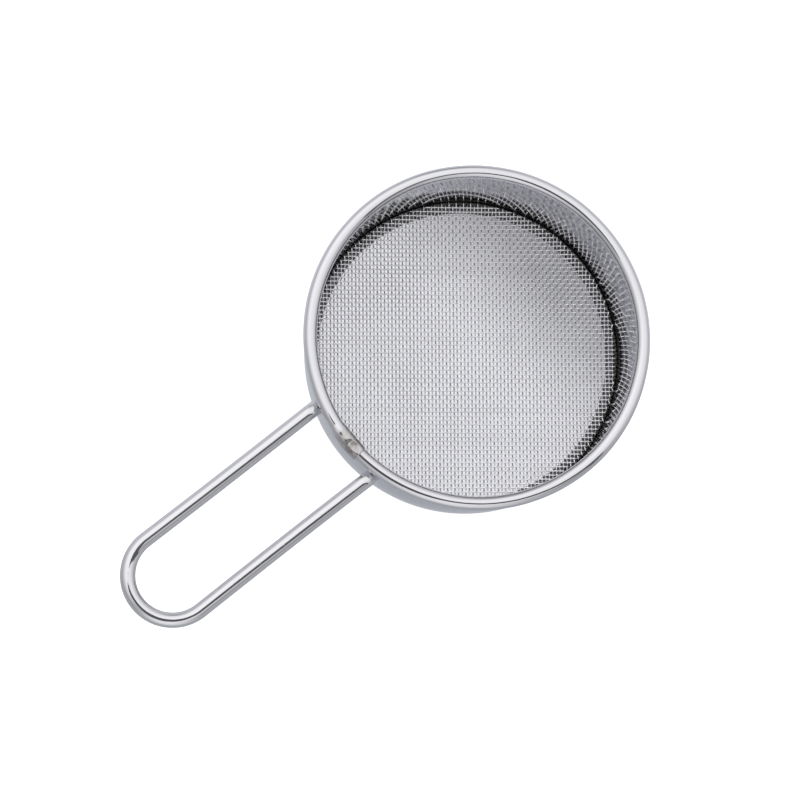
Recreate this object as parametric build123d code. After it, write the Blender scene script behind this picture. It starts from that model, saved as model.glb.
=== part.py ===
from build123d import *
import math
import os

# Tea strainer: a short stainless drum with a rolled, wired rim, a woven wire bottom and a
# bent wire handle welded under the rim.
# Frame: origin on the drum's axis in the plane it rests on, +Z up, handle along +X. Millimetres.

# ---- driving dimensions ----
RIM_DIAMETER = 80.0            # over the rolled bead
DRUM_HEIGHT = 32.0             # resting face to the top of the bead
SHEET = 0.5                    # band thickness
BEAD_DIAMETER = 3.2            # rolled edge, outside
BAND_INNER_RADIUS = 37.35
BASE_CORNER_RADIUS = 0.8       # outside of the turn into the bottom lip
LIP_INNER_RADIUS = 34.6

LAP_START = -5.2               # seam of the band, degrees round from the handle's centre line
LAP_ANGLE = 12.0
LAP_RISE = 0.4                 # how much fuller the bead is where its ends are sleeved together
NUGGET_RADIUS = 1.3            # spot weld through the sleeved ends
NUGGET_ANGLE = 3.6
NUGGET_SINK = 0.2              # the electrode leaves the spot this far below the crown

CLOTH_WIRE = 0.38              # wire of the woven cloth
CLOTH_LEVEL = 1.2              # middle of the flat cloth above the resting face
HOOP_WIDTH = 1.8               # half-flat hoop under the edge of the cloth
HOOP_HEIGHT = 0.9
HOOP_RADIUS = 35.65            # middle of its section
RAMP_LENGTH = 1.6              # cloth rising from the flat onto the hoop, measured radially
SKIRT_END = 0.85               # height of the turned-down edge of the cloth

HANDLE_WIRE = 3.5
HANDLE_REACH = 100.2           # drum's axis to the far side of the bend
LEG_SPACING = 20.2             # between the centres of the two legs
LEG_DROP = 2.1                 # leg centre below the centre of the bead
LEG_BEND_RADIUS = 3.5          # where a leg turns down onto the band
TAIL_LENGTH = 4.6              # straight stretch that lies on the band
WELD_BITE = 0.2                # how far the wire is pressed into the band's outline
WELD_RADIUS = 1.5              # bead of weld round the foot of a leg

# ---- worked out ----
BAND_OUTER_RADIUS = BAND_INNER_RADIUS + SHEET
BEAD_RADIUS = BEAD_DIAMETER / 2
CORE_RADIUS = BEAD_RADIUS - SHEET
BEAD_CIRCLE = RIM_DIAMETER / 2 - BEAD_RADIUS
BEAD_LEVEL = DRUM_HEIGHT - BEAD_RADIUS
CURL_FROM, CURL_TO = -70, 240          # degrees round the bead's section, gap at the bottom
CLOTH_HALF = CLOTH_WIRE                # half the cloth's thickness: two wires cross
HOOP_LEVEL = SHEET + HOOP_HEIGHT / 2
CREST_LEVEL = SHEET + HOOP_HEIGHT + CLOTH_HALF
WIRE_RADIUS = HANDLE_WIRE / 2
LEG_LEVEL = BEAD_LEVEL - LEG_DROP
LEG_Y = LEG_SPACING / 2
TAIL_X = math.sqrt((BAND_OUTER_RADIUS + WIRE_RADIUS - WELD_BITE) ** 2 - LEG_Y**2)
TAIL_TOP = LEG_LEVEL - LEG_BEND_RADIUS
TAIL_FOOT = TAIL_TOP - TAIL_LENGTH
BEND_X = HANDLE_REACH - WIRE_RADIUS - LEG_Y


def at_angle(radius, degrees, centre=(0.0, 0.0)):
    """A point at a polar angle round a centre, in the plane of a section."""
    a = math.radians(degrees)
    return centre[0] + radius * math.cos(a), centre[1] + radius * math.sin(a)


def block(r_low, r_high, z_low, z_high):
    """A rectangle in the radial section."""
    return Pos(r_low, z_low) * Rectangle(r_high - r_low, z_high - z_low, align=(Align.MIN, Align.MIN))


def ring_sector(inner, outer, centre, start, end):
    """Part of a flat ring in the radial section, from one polar angle to another."""
    middle = (start + end) / 2
    with BuildSketch() as sector:
        with BuildLine():
            outside = ThreePointArc(
                at_angle(outer, start, centre), at_angle(outer, middle, centre), at_angle(outer, end, centre)
            )
            inside = ThreePointArc(
                at_angle(inner, start, centre), at_angle(inner, middle, centre), at_angle(inner, end, centre)
            )
            Line(outside @ 0, inside @ 0)
            Line(outside @ 1, inside @ 1)
        make_face()
    return sector.sketch


def turned(section, angle=360.0, start=0.0):
    """A radial section turned about the drum's axis, from a start angle."""
    return Rot(0, 0, start) * revolve(Plane.XZ * section, axis=Axis.Z, revolution_arc=angle)


def post(x, y, radius, z_low, z_high):
    """An upright cylinder."""
    return Pos(x, y, z_low) * Cylinder(radius, z_high - z_low, align=(Align.CENTER, Align.CENTER, Align.MIN))


def core_wire():
    """The hard wire that the rim is rolled round."""
    return Pos(0, 0, BEAD_LEVEL) * Torus(BEAD_CIRCLE, CORE_RADIUS)


def nugget_post(z_high):
    """The upright cylinder that the seam's spot weld fills."""
    x, y = at_angle(BEAD_CIRCLE, NUGGET_ANGLE)
    return post(x, y, NUGGET_RADIUS, BEAD_LEVEL, z_high)


def drum_band():
    """The strip: bottom lip, wall and rolled bead in one, with its sleeved lap seam."""
    bead_at = (BEAD_CIRCLE, BEAD_LEVEL)
    corner_at = (BAND_OUTER_RADIUS - BASE_CORNER_RADIUS, BASE_CORNER_RADIUS)
    wall_top = BEAD_LEVEL - CORE_RADIUS
    section = ring_sector(CORE_RADIUS, BEAD_RADIUS, bead_at, CURL_FROM, CURL_TO)
    section += block(BAND_INNER_RADIUS, BAND_OUTER_RADIUS, corner_at[1], wall_top)
    section += ring_sector(BASE_CORNER_RADIUS - SHEET, BASE_CORNER_RADIUS, corner_at, -90, 0)
    section += block(LIP_INNER_RADIUS, corner_at[0], 0, SHEET)
    lap = ring_sector(CORE_RADIUS, BEAD_RADIUS + LAP_RISE, bead_at, CURL_FROM, 215)
    band = turned(section) + turned(lap, LAP_ANGLE, LAP_START)
    return band - nugget_post(DRUM_HEIGHT + 2 * LAP_RISE)


def seam_weld():
    """The spot weld that joins the sleeved ends of the bead, pressed flat on top."""
    return nugget_post(DRUM_HEIGHT + LAP_RISE - NUGGET_SINK) - core_wire()


def support_hoop():
    """The hoop that lies on the bottom lip and holds the cloth taut."""
    section = Pos(HOOP_RADIUS, HOOP_LEVEL) * SlotOverall(HOOP_WIDTH, HOOP_HEIGHT)
    return turned(section)


def wire_cloth():
    """The cloth as one sheet of its true outline: flat, over the hoop, and down beside the band."""
    hoop_half_flat = (HOOP_WIDTH - HOOP_HEIGHT) / 2
    crest_in, crest_out = HOOP_RADIUS - hoop_half_flat, HOOP_RADIUS + hoop_half_flat
    ramp_in = crest_in - RAMP_LENGTH
    rise = CREST_LEVEL - CLOTH_LEVEL
    turn = 2 * math.degrees(math.atan(rise / RAMP_LENGTH))
    ramp_radius = RAMP_LENGTH / (2 * math.sin(math.radians(turn)))
    over = HOOP_HEIGHT / 2 + CLOTH_HALF
    low, high = CLOTH_LEVEL - CLOTH_HALF, CLOTH_LEVEL + CLOTH_HALF
    skirt_r = crest_out + over

    section = block(0, ramp_in, low, high)
    section += ring_sector(
        ramp_radius - CLOTH_HALF, ramp_radius + CLOTH_HALF, (ramp_in, CLOTH_LEVEL + ramp_radius), -90, turn - 90
    )
    section += ring_sector(
        ramp_radius - CLOTH_HALF, ramp_radius + CLOTH_HALF, (crest_in, CREST_LEVEL - ramp_radius), 90, 90 + turn
    )
    section += block(crest_in, crest_out, CREST_LEVEL - CLOTH_HALF, CREST_LEVEL + CLOTH_HALF)
    section += ring_sector(over - CLOTH_HALF, over + CLOTH_HALF, (crest_out, HOOP_LEVEL), 0, 90)
    section += block(skirt_r - CLOTH_HALF, skirt_r + CLOTH_HALF, SKIRT_END, HOOP_LEVEL)
    return turned(section)


def handle_wire():
    """One wire bent into a long loop, its two ends turned down and pressed onto the band."""
    def leg_points(side):
        y = side * LEG_Y
        foot = (TAIL_X, y, TAIL_FOOT)
        turn_start = (TAIL_X, y, TAIL_TOP)
        reach = LEG_BEND_RADIUS * (1 - math.sqrt(0.5))
        turn_middle = (TAIL_X + reach, y, LEG_LEVEL - reach)
        turn_end = (TAIL_X + LEG_BEND_RADIUS, y, LEG_LEVEL)
        bend = (BEND_X, y, LEG_LEVEL)
        return foot, turn_start, turn_middle, turn_end, bend

    foot, start, middle, end, bend = leg_points(1)
    foot2, start2, middle2, end2, bend2 = leg_points(-1)
    path = Wire(
        [
            Edge.make_line(foot, start),
            Edge.make_three_point_arc(start, middle, end),
            Edge.make_line(end, bend),
            Edge.make_three_point_arc(bend, (BEND_X + LEG_Y, 0, LEG_LEVEL), bend2),
            Edge.make_line(bend2, end2),
            Edge.make_three_point_arc(end2, middle2, start2),
            Edge.make_line(start2, foot2),
        ]
    )
    wire = sweep(Plane(foot, z_dir=(0, 0, 1)) * Circle(WIRE_RADIUS), path=path)
    return wire - post(0, 0, BAND_OUTER_RADIUS, 0, DRUM_HEIGHT)


def handle_weld(side, wire):
    """The bead of weld that wraps the foot of one leg where it meets the band."""
    contact = BAND_OUTER_RADIUS / (BAND_OUTER_RADIUS + WIRE_RADIUS - WELD_BITE)
    lump = Pos(TAIL_X * contact, side * LEG_Y * contact, TAIL_FOOT) * Sphere(WELD_RADIUS)
    return lump - wire - post(0, 0, BAND_OUTER_RADIUS, 0, DRUM_HEIGHT)


def build():
    """Every piece by its node name."""
    handle = handle_wire()
    return {
        "drum_band": drum_band(),
        "rim_wire": core_wire(),
        "seam_weld": seam_weld(),
        "support_hoop": support_hoop(),
        "wire_cloth": wire_cloth(),
        "handle_wire": handle,
        "handle_weld_left": handle_weld(1, handle),
        "handle_weld_right": handle_weld(-1, handle),
    }


os.makedirs("parts", exist_ok=True)
for name, shape in build().items():
    export_step(shape, f"parts/{name}.step")
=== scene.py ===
"""The looks of a tea strainer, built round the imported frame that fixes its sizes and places."""
import logging
import math
from dataclasses import dataclass, field
from enum import Enum
from typing import Callable, Iterable, Sequence

import bpy
import numpy as np
from mathutils import Matrix, Vector


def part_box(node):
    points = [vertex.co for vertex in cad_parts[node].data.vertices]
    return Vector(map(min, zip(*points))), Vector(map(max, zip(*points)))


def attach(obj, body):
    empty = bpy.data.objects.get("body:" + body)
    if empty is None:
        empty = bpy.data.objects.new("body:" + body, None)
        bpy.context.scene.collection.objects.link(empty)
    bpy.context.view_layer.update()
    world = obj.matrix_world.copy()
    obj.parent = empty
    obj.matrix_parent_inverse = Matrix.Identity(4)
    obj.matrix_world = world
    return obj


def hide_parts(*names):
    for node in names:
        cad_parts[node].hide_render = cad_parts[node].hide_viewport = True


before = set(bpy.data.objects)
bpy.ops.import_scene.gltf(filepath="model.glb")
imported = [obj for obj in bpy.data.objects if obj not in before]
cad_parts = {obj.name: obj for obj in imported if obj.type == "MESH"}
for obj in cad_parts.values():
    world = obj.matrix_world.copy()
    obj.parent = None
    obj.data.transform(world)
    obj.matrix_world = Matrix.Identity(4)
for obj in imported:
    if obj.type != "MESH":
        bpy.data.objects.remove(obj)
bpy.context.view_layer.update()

BODY = "root"
MM = 0.001
SHARP_ANGLE = math.radians(50)

log = logging.getLogger("tea_strainer")


class Slot(Enum):
    """The material slots."""

    BAND = "polished_band"
    WIRE = "polished_wire"
    CLOTH = "woven_wire"
    WELD = "weld"


class Strand(Enum):
    """The two families of wires in the cloth."""

    WARP = "warp"
    WEFT = "weft"


# ---------------------------------------------------------------- places from the frame


def node_box(node: str) -> tuple[np.ndarray, np.ndarray]:
    """Lowest and highest corner of a CAD node.

    Args:
        node: The node's name.

    Returns:
        The two corners in millimetres.
    """
    low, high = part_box(node)
    return np.array(low) / MM, np.array(high) / MM


@dataclass(frozen=True)
class Places:
    """What the other classes need to know of the frame, in millimetres."""

    core_radius: float
    bead_circle: float
    bead_level: float
    hoop_low: float
    hoop_high: float
    hoop_outer: float
    cloth_outer: float
    handle_reach: float
    handle_half_width: float
    handle_foot: float
    spot_high: float

    @classmethod
    def from_frame(cls) -> "Places":
        """Reads the places off the CAD nodes' boxes.

        Returns:
            The filled-in places.
        """
        core_low, core_high = node_box("rim_wire")
        hoop_low, hoop_high = node_box("support_hoop")
        handle_low, handle_high = node_box("handle_wire")
        core = (core_high[2] - core_low[2]) / 2
        return cls(
            core_radius=core,
            bead_circle=core_high[1] - core,
            bead_level=(core_high[2] + core_low[2]) / 2,
            hoop_low=hoop_low[2],
            hoop_high=hoop_high[2],
            hoop_outer=hoop_high[1],
            cloth_outer=node_box("wire_cloth")[1][1],
            handle_reach=handle_high[0],
            handle_half_width=handle_high[1],
            handle_foot=handle_low[2],
            spot_high=node_box("seam_weld")[1][2],
        )


# ---------------------------------------------------------------- curves and meshes


def polar(degrees: np.ndarray | float) -> np.ndarray:
    """Unit vectors at the given angles, one row each."""
    turn = np.radians(np.asarray(degrees, float))
    return np.stack([np.cos(turn), np.sin(turn)], axis=-1)


def arc(centre: Sequence[float], radius: float, start: float, end: float, count: int) -> np.ndarray:
    """Points on an arc: centre + radius * (cos a, sin a), a running from start to end.

    Args:
        centre: Centre in the section, radius then height.
        radius: Radius of the arc.
        start: First angle in degrees.
        end: Last angle in degrees.
        count: How many points, both ends included.

    Returns:
        The points, one row each.
    """
    return np.asarray(centre) + radius * polar(np.linspace(start, end, count))


def line(start: Sequence[float], end: Sequence[float], count: int) -> np.ndarray:
    """Evenly spaced points from start to end, both included."""
    return np.linspace(np.asarray(start, float), np.asarray(end, float), count)


def chain(parts: Iterable[np.ndarray], closed: bool = True) -> np.ndarray:
    """Joins stretches of a curve end to end and drops points that fall on each other.

    Args:
        parts: The stretches in order.
        closed: Whether the last point may not repeat the first one.

    Returns:
        The points of the whole curve.
    """
    points = np.concatenate(list(parts))
    step = np.linalg.norm(np.diff(points, axis=0), axis=1)
    points = points[np.concatenate([[True], step > 1e-6])]
    if closed and np.linalg.norm(points[0] - points[-1]) < 1e-6:
        points = points[:-1]
    return points


def grid_faces(rows: int, columns: int, wrap_rows: bool, first: int = 0) -> np.ndarray:
    """Quads over a grid of points whose columns close on themselves.

    Args:
        rows: Number of rings.
        columns: Points in each ring.
        wrap_rows: Whether the last ring joins the first one.
        first: Index of the grid's first point.

    Returns:
        Four point indices for each quad.
    """
    row = np.arange(rows if wrap_rows else rows - 1)[:, None]
    column = np.arange(columns)[None, :]
    after_row = (row + 1) % rows
    after_column = (column + 1) % columns
    corners = [
        row * columns + column,
        after_row * columns + column,
        after_row * columns + after_column,
        row * columns + after_column,
    ]
    return first + np.stack(np.broadcast_arrays(*corners), axis=-1).reshape(-1, 4)


def fan_faces(ring: np.ndarray, pole: int) -> np.ndarray:
    """Triangles from one pole to each side of a ring of points."""
    return np.stack([ring, np.roll(ring, -1), np.full(len(ring), pole)], axis=-1)


def capped(rings: int, sides: int) -> tuple[np.ndarray, np.ndarray]:
    """Faces of a stack of rings with a pole at each end.

    The points are taken ring by ring, with the first ring's pole and the last ring's pole after
    them. The quads join each ring to the next one and the triangles join an end ring to its pole.

    Args:
        rings: Number of rings.
        sides: Points in each ring.

    Returns:
        The quads and the triangles.
    """
    count = rings * sides
    first, last = np.arange(sides), count - sides + np.arange(sides)
    caps = np.concatenate([fan_faces(first[::-1], count), fan_faces(last, count + 1)])
    return grid_faces(rings, sides, wrap_rows=False)[:, ::-1], caps


@dataclass
class Surface:
    """Points and faces of one or more closed shells, with values that its finish reads."""

    points: np.ndarray
    quads: np.ndarray
    triangles: np.ndarray = field(default_factory=lambda: np.zeros((0, 3), int))
    values: dict[str, np.ndarray] = field(default_factory=dict)

    def volume(self) -> float:
        """Signed volume: a sixth of the sum of a . (b x c) over all triangles.

        Returns:
            The volume, negative if the faces look inwards.
        """
        halves = [self.quads[:, [0, 1, 2]], self.quads[:, [0, 2, 3]], self.triangles]
        a, b, c = np.moveaxis(self.points[np.concatenate(halves)], 1, 0)
        return float(np.einsum("ij,ij->", a, np.cross(b, c))) / 6

    def outward(self) -> "Surface":
        """Turns the faces round if they look inwards.

        Returns:
            The same surface.
        """
        if self.volume() < 0:
            self.quads = self.quads[:, ::-1]
            self.triangles = self.triangles[:, ::-1]
        return self

    @staticmethod
    def merged(parts: Sequence["Surface"]) -> "Surface":
        """Puts several shells into one surface.

        Args:
            parts: The shells, all with the same values.

        Returns:
            One surface that holds them all.
        """
        starts = np.cumsum([0] + [len(p.points) for p in parts])
        return Surface(
            np.concatenate([p.points for p in parts]),
            np.concatenate([p.quads + s for p, s in zip(parts, starts)]),
            np.concatenate([p.triangles + s for p, s in zip(parts, starts)]),
            {k: np.concatenate([p.values[k] for p in parts]) for k in parts[0].values},
        )

    def make(self, name: str, smooth_all: bool = False) -> bpy.types.Object:
        """Puts the surface into a Blender mesh, in metres, with its place in the mesh.

        Args:
            name: Name of the new object.
            smooth_all: Whether even sharp corners are shaded round.

        Returns:
            The new object, linked to the scene.
        """
        mesh = bpy.data.meshes.new(name)
        faces = self.quads.tolist() + self.triangles.tolist()
        mesh.from_pydata((self.points * MM).tolist(), [], faces)
        for key, value in self.values.items():
            vector = value.ndim == 2
            layer = mesh.attributes.new(key, "FLOAT_VECTOR" if vector else "FLOAT", "POINT")
            layer.data.foreach_set("vector" if vector else "value", value.astype(np.float32).ravel())
        mesh.shade_smooth()
        if not smooth_all:
            mesh.set_sharp_from_angle(angle=SHARP_ANGLE)
        mesh.update()
        piece = bpy.data.objects.new(name, mesh)
        bpy.context.scene.collection.objects.link(piece)
        return piece


def lathe(outline: np.ndarray, angles: np.ndarray, bend: Callable | None = None) -> Surface:
    """Turns a closed outline round the drum's axis.

    A point is (r cos t, r sin t, z), with r and z from the outline and t the angle. The value
    "flow" is the point in a space that is straight across the section: (r0 cos t, r0 sin t, s),
    with s the way along the outline.

    Args:
        outline: Radius and height of each point of the outline.
        angles: The turn in degrees of each copy.
        bend: Optional change of radius and height, as a function of the angle, radius and height.

    Returns:
        The closed surface.
    """
    turn, radius = np.meshgrid(angles, outline[:, 0], indexing="ij")
    height = np.broadcast_to(outline[:, 1], radius.shape)
    if bend is not None:
        radius, height = bend(turn, radius, height)
    away = polar(turn)
    points = np.concatenate([away * radius[..., None], height[..., None]], axis=-1)
    sides = np.linalg.norm(np.diff(outline, axis=0, prepend=outline[:1]), axis=1)
    along = np.broadcast_to(np.cumsum(sides), radius.shape)
    mean = float(outline[:, 0].mean())
    flow = np.concatenate([away * mean, along[..., None]], axis=-1)
    quads = grid_faces(len(angles), len(outline), wrap_rows=True)
    return Surface(points.reshape(-1, 3), quads, values={"flow": flow.reshape(-1, 3)}).outward()


def tube(
    path: np.ndarray, tangent: np.ndarray, side: np.ndarray, radius: np.ndarray, sides: int
) -> Surface:
    """Carries a circle along a path: p + r (cos a N + sin a B), with N the side and B = T x N.

    The value "flow" is the point in the straightened wire: (r cos a, r sin a, way along).

    Args:
        path: Centre line, one row a ring.
        tangent: Unit direction of the path at each ring.
        side: Unit vector at right angles to it.
        radius: Radius of each ring.
        sides: Points in each ring.

    Returns:
        The closed surface, with a pole at each end.
    """
    ring = polar(np.arange(sides) * 360 / sides)
    across = np.cross(tangent, side)
    spokes = ring[None, :, :1] * side[:, None] + ring[None, :, 1:] * across[:, None]
    points = (path[:, None] + radius[:, None, None] * spokes).reshape(-1, 3)
    steps = np.linalg.norm(np.diff(path, axis=0, prepend=path[:1]), axis=1)
    along = np.repeat(np.cumsum(steps), sides)
    flow = np.column_stack([np.tile(ring, (len(path), 1)) * np.repeat(radius, sides)[:, None], along])
    poles = np.array([path[0], path[-1]])
    pole_flow = np.array([[0, 0, along[0]], [0, 0, along[-1]]])
    quads, caps = capped(len(path), sides)
    surface = Surface(np.vstack([points, poles]), quads, caps, {"flow": np.vstack([flow, pole_flow])})
    return surface.outward()


def smooth_step(value: np.ndarray, low: float, high: float) -> np.ndarray:
    """Goes from 0 at low to 1 at high along 3t^2 - 2t^3."""
    t = np.clip((value - low) / (high - low), 0, 1)
    return t * t * (3 - 2 * t)


def ripple(turn: np.ndarray, waves: Sequence[tuple[float, int, float]]) -> np.ndarray:
    """Sum of amplitude * sin(count * angle + phase) over the given waves, angle in degrees."""
    return sum(size * np.sin(np.radians(count * turn + phase)) for size, count, phase in waves)


# ---------------------------------------------------------------- node graphs


class Graph:
    """A short way of writing shader nodes."""

    def __init__(self, tree: bpy.types.NodeTree) -> None:
        """Keeps the tree that the nodes go into."""
        self.tree = tree

    def node(self, kind: str, inputs: dict | None = None, **settings: object) -> bpy.types.Node:
        """Adds one node.

        Args:
            kind: The node's type without its "ShaderNode" prefix.
            inputs: Value or socket for each named or numbered input.
            **settings: The node's own settings.

        Returns:
            The new node.
        """
        made = self.tree.nodes.new("ShaderNode" + kind)
        for key, value in settings.items():
            setattr(made, key, value)
        for key, value in (inputs or {}).items():
            self.put(made.inputs[key], value)
        return made

    def put(self, socket: bpy.types.NodeSocket, value: object) -> None:
        """Links a socket to an input, or writes a plain value into it.

        Args:
            socket: The input.
            value: The socket to link or the value to write.
        """
        if isinstance(value, bpy.types.NodeSocket):
            self.tree.links.new(value, socket)
        else:
            socket.default_value = value

    def math(self, operation: str, *values: object, clamp: bool = False) -> bpy.types.NodeSocket:
        """Adds a Math node and returns its output."""
        inputs = dict(enumerate(values))
        return self.node("Math", inputs, operation=operation, use_clamp=clamp).outputs[0]

    def span(
        self, value: object, low: float, high: float, to_low: float = 0.0, to_high: float = 1.0
    ) -> bpy.types.NodeSocket:
        """Maps a value smoothly from one range to another and returns the output."""
        inputs = {"Value": value, "From Min": low, "From Max": high, "To Min": to_low, "To Max": to_high}
        return self.node("MapRange", inputs, interpolation_type="SMOOTHSTEP").outputs["Result"]

    def noise(self, vector: object, scale: object, detail: float = 3.0) -> bpy.types.NodeSocket:
        """Adds a noise texture and returns its value."""
        inputs = {"Vector": vector, "Scale": scale, "Detail": detail}
        return self.node("TexNoise", inputs, noise_dimensions="3D").outputs["Fac"]

    def stretch(
        self, vector: object, scale: Sequence[float], turn: Sequence[float] = (0, 0, 0)
    ) -> bpy.types.NodeSocket:
        """Scales and turns a vector and returns it."""
        inputs = {"Vector": vector, "Scale": scale, "Rotation": turn}
        return self.node("Mapping", inputs).outputs["Vector"]

    def between(self, factor: object, first: object, second: object) -> bpy.types.NodeSocket:
        """Mixes two values and returns the result."""
        inputs = {"Factor": factor, 2: first, 3: second}
        return self.node("Mix", inputs, data_type="FLOAT").outputs[0]

    def along(self, vector: object, axis: Vector) -> bpy.types.NodeSocket:
        """Takes a vector's share along a fixed axis, their dot product, and returns it."""
        inputs = {0: vector, 1: tuple(axis)}
        return self.node("VectorMath", inputs, operation="DOT_PRODUCT").outputs["Value"]

    def blend(
        self, factor: object, first: object, second: object, kind: str = "MIX"
    ) -> bpy.types.NodeSocket:
        """Mixes two colours.

        Args:
            factor: How much of the second one.
            first: The first colour.
            second: The second colour.
            kind: The way of mixing.

        Returns:
            The mixed colour.
        """
        made = self.node("Mix", data_type="RGBA", blend_type=kind)
        self.put(made.inputs["Factor"], factor)
        self.put(made.inputs[6], first)
        self.put(made.inputs[7], second)
        return made.outputs[2]

    def shared(self, group: bpy.types.NodeTree, inputs: dict) -> bpy.types.Node:
        """Places a shared group and fills its inputs.

        Args:
            group: The group.
            inputs: Value or socket for each named input.

        Returns:
            The node that holds the group.
        """
        made = self.node("Group")
        made.node_tree = group
        for key, value in inputs.items():
            self.put(made.inputs[key], value)
        return made


def new_group(
    name: str, inputs: dict[str, tuple[str, object]], outputs: dict[str, str]
) -> tuple[Graph, bpy.types.Node, bpy.types.Node]:
    """Starts a shader node group with named sockets.

    Args:
        name: Name of the group.
        inputs: Socket kind and default for each input.
        outputs: Socket kind for each output.

    Returns:
        The graph, its input node and its output node.
    """
    tree = bpy.data.node_groups.new(name, "ShaderNodeTree")
    for key, (kind, default) in inputs.items():
        socket = tree.interface.new_socket(key, in_out="INPUT", socket_type="NodeSocket" + kind)
        if default is not None:
            socket.default_value = default
    for key, kind in outputs.items():
        tree.interface.new_socket(key, in_out="OUTPUT", socket_type="NodeSocket" + kind)
    return Graph(tree), tree.nodes.new("NodeGroupInput"), tree.nodes.new("NodeGroupOutput")


class Effects:
    """The effects that more than one finish uses, each a shared node group."""

    def __init__(self) -> None:
        """Builds every group once."""
        self.scratches = self._scratches()
        self.handling = self._handling()
        self.draw_lines = self._draw_lines()
        self.heat = self._heat()

    @staticmethod
    def _scratches() -> bpy.types.NodeTree:
        """Hairline scratches: thin level lines of stretched noise in three directions.

        Returns:
            The group, with a mask of the scratches as its output.
        """
        graph, given, result = new_group(
            "hairline_scratches",
            {"Vector": ("Vector", None), "Scale": ("Float", 900.0), "Width": ("Float", 0.012)},
            {"Mask": "Float"},
        )
        total = None
        for turn in ((0.3, 0.9, 0.2), (1.1, -0.4, 1.9), (-0.7, 0.5, 2.7)):
            place = graph.stretch(given.outputs["Vector"], (1.0, 0.06, 0.3), turn)
            value = graph.noise(place, given.outputs["Scale"], 1.0)
            away = graph.math("ABSOLUTE", graph.math("SUBTRACT", value, 0.5))
            near = graph.math("DIVIDE", away, given.outputs["Width"])
            hair = graph.math("SUBTRACT", 1.0, near, clamp=True)
            total = hair if total is None else graph.math("MAXIMUM", total, hair)
        broken = graph.span(graph.noise(given.outputs["Vector"], 260.0, 2.0), 0.48, 0.66)
        graph.put(result.inputs["Mask"], graph.math("MULTIPLY", total, broken))
        return graph.tree

    @staticmethod
    def _handling() -> bpy.types.NodeTree:
        """Faint smudges and wiping marks, as soft cloudy patches.

        Returns:
            The group, with a mask of the dulled places as its output.
        """
        graph, given, result = new_group(
            "handling_marks",
            {"Vector": ("Vector", None), "Scale": ("Float", 60.0), "Amount": ("Float", 1.0)},
            {"Mask": "Float"},
        )
        broad = graph.noise(given.outputs["Vector"], given.outputs["Scale"], 5.0)
        fine_scale = graph.math("MULTIPLY", given.outputs["Scale"], 9.0)
        fine = graph.noise(given.outputs["Vector"], fine_scale, 3.0)
        patch = graph.span(broad, 0.46, 0.72)
        grain = graph.span(fine, 0.35, 0.75, 0.6, 1.0)
        mask = graph.math("MULTIPLY", graph.math("MULTIPLY", patch, grain), given.outputs["Amount"])
        graph.put(result.inputs["Mask"], mask)
        return graph.tree

    @staticmethod
    def _draw_lines() -> bpy.types.NodeTree:
        """Fine lines left by a drawing die or polishing wheel, long in one direction.

        Returns:
            The group, with the lines as a height and as a mask of the deeper ones.
        """
        graph, given, result = new_group(
            "draw_lines",
            {"Vector": ("Vector", None), "Fineness": ("Float", 6.0)},
            {"Height": "Float", "Mask": "Float"},
        )
        wide = graph.noise(given.outputs["Vector"], given.outputs["Fineness"], 2.0)
        finer = graph.math("MULTIPLY", given.outputs["Fineness"], 3.1)
        thin = graph.noise(given.outputs["Vector"], finer, 2.0)
        height = graph.math("ADD", graph.math("MULTIPLY", wide, 0.6), graph.math("MULTIPLY", thin, 0.4))
        graph.put(result.inputs["Height"], height)
        graph.put(result.inputs["Mask"], graph.span(thin, 0.55, 0.75))
        return graph.tree

    @staticmethod
    def _heat() -> bpy.types.NodeTree:
        """The straw to brown stain of heated steel.

        Returns:
            The group, with the stained colour as its output.
        """
        graph, given, result = new_group(
            "heat_stain",
            {"Vector": ("Vector", None), "Color": ("Color", (1, 1, 1, 1)), "Heat": ("Float", 0.0)},
            {"Color": "Color"},
        )
        uneven = graph.span(graph.noise(given.outputs["Vector"], 700.0, 4.0), 0.3, 0.7, 0.45, 1.0)
        heat = graph.math("MULTIPLY", given.outputs["Heat"], uneven, clamp=True)
        straw = graph.blend(graph.span(heat, 0.0, 0.6), given.outputs["Color"], (0.51, 0.50, 0.49, 1))
        brown = graph.blend(graph.span(heat, 0.55, 1.0), straw, (0.26, 0.235, 0.22, 1))
        graph.put(result.inputs["Color"], brown)
        return graph.tree


# ---------------------------------------------------------------- finishes


class Finish:
    """What every finish shares: a material with one Principled shader, filled by dress()."""

    name: str

    def material(self, effects: Effects) -> bpy.types.Material:
        """Makes the material.

        Args:
            effects: The shared node groups.

        Returns:
            The finished material.
        """
        made = bpy.data.materials.new(self.name)
        made.use_nodes = True
        made.node_tree.nodes.clear()
        graph = Graph(made.node_tree)
        shader = graph.node("BsdfPrincipled", {"Metallic": 1.0})
        output = graph.node("OutputMaterial", {"Surface": shader.outputs["BSDF"]})
        output.is_active_output = True
        self.dress(graph, shader, effects)
        return made

    def dress(self, graph: Graph, shader: bpy.types.Node, effects: Effects) -> None:
        """Fills the shader's inputs. Each finish has its own."""
        raise NotImplementedError


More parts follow.
